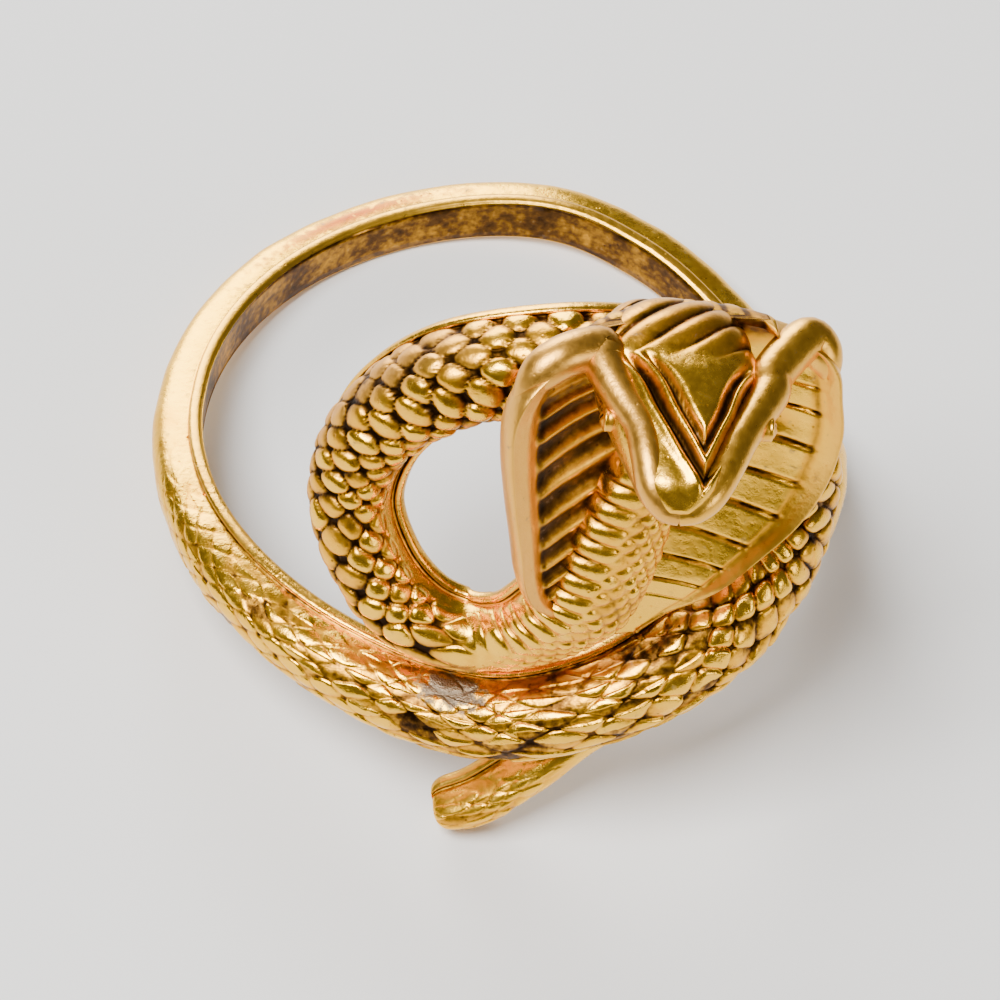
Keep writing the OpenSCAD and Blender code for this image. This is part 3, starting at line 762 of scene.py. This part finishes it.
def skin(name, points, masks, material):
    """Mesh from a grid of rings: quads between neighbours, closed round each ring and over both ends.

    The faces are turned outwards by the sign of the volume that they enclose.
    """
    grid = close_ends(points)
    rings, around = grid.shape[:2]
    i, j = np.meshgrid(np.arange(rings - 1), np.arange(around), indexing="ij")
    a, b = i * around + j, i * around + (j + 1) % around
    quads = np.stack([a, b, b + around, a + around], -1).reshape(-1, 4)
    co = lay(grid.reshape(-1, 3))
    co = np.concatenate([co, [co[:around].mean(0), co[-around:].mean(0)]])
    n = rings * around
    ring = np.arange(around)
    start = np.stack([(ring + 1) % around, ring, np.full(around, n)], -1)
    end = np.stack([ring + n - around, (ring + 1) % around + n - around, np.full(around, n + 1)], -1)
    p = co[quads]
    volume = np.einsum("ij,ij->", p[:, 0], np.cross(p[:, 1], p[:, 2]) + np.cross(p[:, 2], p[:, 3]))
    if volume < 0:
        quads, start, end = quads[:, ::-1], start[:, ::-1], end[:, ::-1]
    mesh = bpy.data.meshes.new(name)
    mesh.from_pydata(co, [], [*quads.tolist(), *start.tolist(), *end.tolist()])
    for label, value in masks.items():
        padded = np.concatenate([value[:1], value[:1], value, value[-1:], value[-1:]])
        flat = np.concatenate([padded.reshape(-1), [value[0].mean(), value[-1].mean()]])
        mesh.attributes.new(label, "FLOAT", "POINT").data.foreach_set("value", flat.astype(np.float32))
    mesh.polygons.foreach_set("use_smooth", np.ones(len(mesh.polygons), bool))
    mesh.materials.append(material)
    mesh.validate()
    mesh.update()
    piece = bpy.data.objects.new(name, mesh)
    bpy.context.scene.collection.objects.link(piece)
    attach(piece, "root")
    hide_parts("snake_ring")
    return piece


# ---- Materials ----
# Masks that the surfaces carry, with their values where one is missing
MASKS = (("crevice_and_shade", 1.0), ("tan", 0.0), ("grey", 0.0), ("stain_and_shade", 0.0))
# Colours from the rubbed high points down to the bottom of the crevices; the dark end also paints shade where
# a mask carries it
BRIGHT, GOLD = (1.0, 0.55, 0.03), (0.86, 0.4, 0.012)
BROWN, DIRT = (0.13, 0.054, 0.009), (0.016, 0.006, 0.001)
# Colours of the rubbed tan places, of the grey patch, and of the red-brown stains and painted shade
TAN, GREY, STAIN_AND_SHADE = (0.72, 0.35, 0.06), (0.26, 0.19, 0.12), (0.25, 0.06, 0.008)
# Patterns, by how many of their cells go into a millimetre
BLOTCH_SCALE, SPECK_SCALE, FINE_SCALE, PIT_SCALE = 0.8, 4.5, 20.0, 2.4
# Depth of the fine bumps, in metres
BUMP_DEPTH = 0.00003


def patina_group():
    """Node group: colour, roughness and fine height of worn cast gold from the four masks.

    The mask of crevices and painted shade, moved up and down by blotches and pits, is a level on which dirt,
    brown, gold and bright gold lie one over the other, so painted shade comes out dark too. Tan, stains with
    painted shade, and grey are laid over that by their own masks.
    """
    g = bpy.data.node_groups.new("worn_patina", "ShaderNodeTree")

    def add(name, kind, way, value=None):
        """Adds an input or output to the group."""
        s = g.interface.new_socket(name=name, in_out=way, socket_type=kind)
        if value is not None:
            s.default_value = value

    for name, value in (*MASKS, ("blotches", 0.3), ("polish", 0.22)):
        add(name, "NodeSocketFloat", "INPUT", value)
    for name, value in (("bright", BRIGHT), ("gold", GOLD), ("brown", BROWN), ("dirt", DIRT)):
        add(name, "NodeSocketColor", "INPUT", (*value, 1))
    add("Color", "NodeSocketColor", "OUTPUT")
    add("Roughness", "NodeSocketFloat", "OUTPUT")
    add("Height", "NodeSocketFloat", "OUTPUT")
    nodes, links = g.nodes, g.links
    face, out = nodes.new("NodeGroupInput"), nodes.new("NodeGroupOutput")
    coords = nodes.new("ShaderNodeTexCoord")
    to_mm = nodes.new("ShaderNodeMapping")
    to_mm.inputs["Scale"].default_value = (1000, 1000, 1000)
    links.new(coords.outputs["Object"], to_mm.inputs["Vector"])

    def noise(scale, detail):
        """Noise pattern in millimetres, around 0."""
        n = nodes.new("ShaderNodeTexNoise")
        n.inputs["Scale"].default_value = scale
        n.inputs["Detail"].default_value = detail
        links.new(to_mm.outputs["Vector"], n.inputs["Vector"])
        return math("SUBTRACT", n.outputs["Fac"], 0.5)

    def math(operation, a, b, clamp=False):
        """Sum, difference or product of two values, each a number or a socket."""
        n = nodes.new("ShaderNodeMath")
        n.operation, n.use_clamp = operation, clamp
        for place, value in zip(n.inputs, (a, b)):
            if isinstance(value, (int, float)):
                place.default_value = value
            else:
                links.new(value, place)
        return n.outputs[0]

    def mix(amount, a, b):
        """Colour between a and b, each a colour or a socket."""
        n = nodes.new("ShaderNodeMix")
        n.data_type = "RGBA"
        links.new(amount, n.inputs["Factor"])
        for place, value in ((n.inputs[6], a), (n.inputs[7], b)):
            if isinstance(value, tuple):
                place.default_value = (*value, 1)
            else:
                links.new(value, place)
        return n.outputs[2]

    def ramp(value, low, high):
        """0 below low, 1 above high, with a soft S between."""
        n = nodes.new("ShaderNodeMapRange")
        n.interpolation_type = "SMOOTHSTEP"
        n.inputs["From Min"].default_value, n.inputs["From Max"].default_value = low, high
        links.new(value, n.inputs["Value"])
        return n.outputs["Result"]

    blotch, speck, fine = noise(BLOTCH_SCALE, 4), noise(SPECK_SCALE, 3), noise(FINE_SCALE, 2)
    pits = nodes.new("ShaderNodeTexVoronoi")
    pits.inputs["Scale"].default_value = PIT_SCALE
    links.new(to_mm.outputs["Vector"], pits.inputs["Vector"])
    pit_mask = ramp(pits.outputs["Distance"], 0.04, 0.13)

    # Level of wear and of painted shade, and the colours on it
    wander = math("MULTIPLY", math("ADD", blotch, math("MULTIPLY", speck, 0.7)), face.outputs["blotches"])
    level = math("ADD", face.outputs["crevice_and_shade"], math("MULTIPLY", wander, 2.2))
    level = math("MULTIPLY", level, math("ADD", math("MULTIPLY", pit_mask, 0.3), 0.7), clamp=True)
    deep = mix(ramp(level, 0.08, 0.42), face.outputs["dirt"], face.outputs["brown"])
    middle = mix(ramp(level, 0.28, 0.68), deep, face.outputs["gold"])
    color = mix(ramp(level, 0.62, 1.0), middle, face.outputs["bright"])
    tan_amount = math("MULTIPLY", face.outputs["tan"], ramp(level, 0.25, 0.6))
    color = mix(tan_amount, color, TAN)
    # Red-brown stains, and painted shade where that mask carries it
    patchy = math("ADD", face.outputs["stain_and_shade"], math("MULTIPLY", math("ADD", blotch, speck), 1.3))
    color = mix(math("MULTIPLY", ramp(patchy, 0.35, 0.85), face.outputs["stain_and_shade"]), color, STAIN_AND_SHADE)
    grey_amount = ramp(math("ADD", face.outputs["grey"], math("MULTIPLY", speck, 1.4)), 0.15, 0.6)
    color = mix(grey_amount, color, GREY)
    links.new(color, out.inputs["Color"])

    # Duller in the crevices, on the tan places and on the grey patch
    dull = math("MULTIPLY", math("SUBTRACT", 1.0, level), 0.25)
    rough = math("ADD", face.outputs["polish"], math("ADD", dull, math("MULTIPLY", speck, 0.25)))
    duller = math("MULTIPLY", math("ADD", grey_amount, face.outputs["tan"]), 0.12)
    links.new(math("ADD", rough, duller, clamp=True), out.inputs["Roughness"])

    # Fine height: specks and pits all over, and grit on the grey patch
    coarse = math("ADD", math("MULTIPLY", speck, 1.2), math("MULTIPLY", pit_mask, 0.5))
    grit = math("MULTIPLY", math("MULTIPLY", fine, grey_amount), 2.5)
    links.new(math("ADD", math("ADD", coarse, grit), math("MULTIPLY", fine, 0.3)), out.inputs["Height"])
    return g


PATINA = patina_group()


def gold(name, blotches, polish, bump):
    """Worn gold-coloured metal: the patina group feeds a fully metallic surface.

    polish is the roughness of a clean place, and bump the strength of the fine bumps.
    """
    m = bpy.data.materials.new(name)
    m.use_nodes = True
    nodes, links = m.node_tree.nodes, m.node_tree.links
    shader = nodes["Principled BSDF"]
    shader.inputs["Metallic"].default_value = 1.0
    worn = nodes.new("ShaderNodeGroup")
    worn.node_tree = PATINA
    for label, _ in MASKS:
        mask = nodes.new("ShaderNodeAttribute")
        mask.attribute_name = label
        links.new(mask.outputs["Fac"], worn.inputs[label])
    worn.inputs["blotches"].default_value = blotches
    worn.inputs["polish"].default_value = polish
    links.new(worn.outputs["Color"], shader.inputs["Base Color"])
    links.new(worn.outputs["Roughness"], shader.inputs["Roughness"])
    bumps = nodes.new("ShaderNodeBump")
    bumps.inputs["Strength"].default_value = bump
    bumps.inputs["Distance"].default_value = BUMP_DEPTH
    links.new(worn.outputs["Height"], bumps.inputs["Height"])
    links.new(bumps.outputs["Normal"], shader.inputs["Normal"])
    return m


shank_gold = gold("shank_gold", blotches=0.3, polish=0.27, bump=0.35)
band_gold = gold("band_gold", blotches=0.5, polish=0.22, bump=0.5)
coil_gold = gold("coil_gold", blotches=0.3, polish=0.22, bump=0.45)
hood_gold = gold("hood_gold", blotches=0.2, polish=0.26, bump=0.4)
head_gold = gold("head_gold", blotches=0.16, polish=0.22, bump=0.35)


# ---- Pieces ----
def body_piece(name, first, last, count, dome_count, material):
    """One stretch of the body between two rows of the route, run on under its neighbours at the joints."""
    u, dive = np.linspace(first, last, count), np.zeros(count)
    under = np.linspace(0, 1, END_N + 1)[1:]
    if first > 0:
        u = np.concatenate([first - DIVE_ROWS * under[::-1], u])
        dive = np.concatenate([DIVE * under[::-1] ** 2, dive])
    if last < len(ROUTE) - 1:
        u = np.concatenate([u, last + DIVE_ROWS * under])
        dive = np.concatenate([dive, DIVE * under**2])
    skin(name, *body_points(u, dome_count, dive), material)


body_piece("tail_and_shank", 0, BAND_ROW, 620, 75, shank_gold)
body_piece("scaly_band", BAND_ROW, COIL_ROW, 500, 141, band_gold)
body_piece("coil_and_neck", COIL_ROW, len(ROUTE) - 1, 560, 141, coil_gold)
skin("hood", *hood_points(281, 181), hood_gold)
skin("head", *head_points(221, 240), head_gold)
skin("left_arch", *arch_points(1, 90, 40), head_gold)
skin("right_arch", *arch_points(2, 90, 40), head_gold)
skin("eye_left", *eye_points(1, 41, 64), head_gold)
skin("eye_right", *eye_points(2, 41, 64), head_gold)


# ---- Floor, lights and camera ----
def make_floor(half, color, rough):
    """Flat square matt floor at the height that the ring rests on."""
    material = bpy.data.materials.new("pale_floor")
    material.use_nodes = True
    shader = material.node_tree.nodes["Principled BSDF"]
    shader.inputs["Base Color"].default_value = (*color, 1)
    shader.inputs["Roughness"].default_value = rough
    mesh = bpy.data.meshes.new("floor")
    corners = [(-half, -half, 0), (half, -half, 0), (half, half, 0), (-half, half, 0)]
    mesh.from_pydata(corners, [], [(0, 1, 2, 3)])
    mesh.materials.append(material)
    floor = bpy.data.objects.new("floor", mesh)
    bpy.context.scene.collection.objects.link(floor)


make_floor(half=3.0, color=(0.8, 0.79, 0.77), rough=0.6)

# Place that the lights face, in metres
RING_MIDDLE = (0, 0, 0.008)


def area_light(name, place, size, power):
    """Square soft light at a place, facing the ring; in metres and watts."""
    lamp = bpy.data.lights.new(name, "AREA")
    lamp.size, lamp.energy = size, power
    light = bpy.data.objects.new(name, lamp)
    bpy.context.scene.collection.objects.link(light)
    away = np.array(place) - np.array(RING_MIDDLE)
    away /= np.linalg.norm(away)
    side = np.cross((0, 0, 1), away)
    side /= np.linalg.norm(side)
    axes = Matrix(np.stack([side, np.cross(away, side), away], 1).tolist()).to_4x4()
    light.matrix_world = Matrix.Translation(place) @ axes


area_light("key", (-0.12, -0.08, 0.3), size=0.16, power=2.3)
area_light("fill", (0.28, -0.2, 0.16), size=0.16, power=0.4)
area_light("back", (-0.12, 0.3, 0.1), size=0.22, power=1.7)

WORLD_POWER = 0.12
world = bpy.data.worlds.new("studio")
bpy.context.scene.world = world
world.use_nodes = True
background = world.node_tree.nodes["Background"]
background.inputs["Color"].default_value = (1, 1, 1, 1)
background.inputs["Strength"].default_value = WORLD_POWER

# Camera: it looks at the loop's middle from 55 degrees off the finger axis, rolled by 7 degrees. The loop's
# middle is at AIM_PX in the picture, and a millimetre there is PX_PER_MM pixels.
CAMERA_FAR, OFF_AXIS, CAMERA_ROLL = 130.0, np.radians(55), np.radians(7)
AIM = np.array([0, 0, 1.86])
PICTURE_PX, AIM_PX, PX_PER_MM = 1000, (498, 465), 34.3
SENSOR, CLIP_NEAR = 36, 0.005

toward = np.array([0, -np.sin(OFF_AXIS), np.cos(OFF_AXIS)])
across = np.array([1, 0, 0])
upright = np.array([0, np.cos(OFF_AXIS), np.sin(OFF_AXIS)])
right = np.cos(CAMERA_ROLL) * across + np.sin(CAMERA_ROLL) * upright
up = -np.sin(CAMERA_ROLL) * across + np.cos(CAMERA_ROLL) * upright
camera = bpy.data.objects.new("camera", bpy.data.cameras.new("camera"))
camera.data.sensor_width = SENSOR
camera.data.lens = PX_PER_MM * CAMERA_FAR * SENSOR / PICTURE_PX
camera.data.shift_x = (PICTURE_PX / 2 - AIM_PX[0]) / PICTURE_PX
camera.data.shift_y = (AIM_PX[1] - PICTURE_PX / 2) / PICTURE_PX
camera.data.clip_start = CLIP_NEAR
camera_turn = Matrix((lay_turn() @ np.stack([right, up, toward], 1)).tolist()).to_4x4()
camera.matrix_world = Matrix.Translation(lay(AIM + CAMERA_FAR * toward).tolist()) @ camera_turn
bpy.context.scene.collection.objects.link(camera)
bpy.context.scene.camera = camera
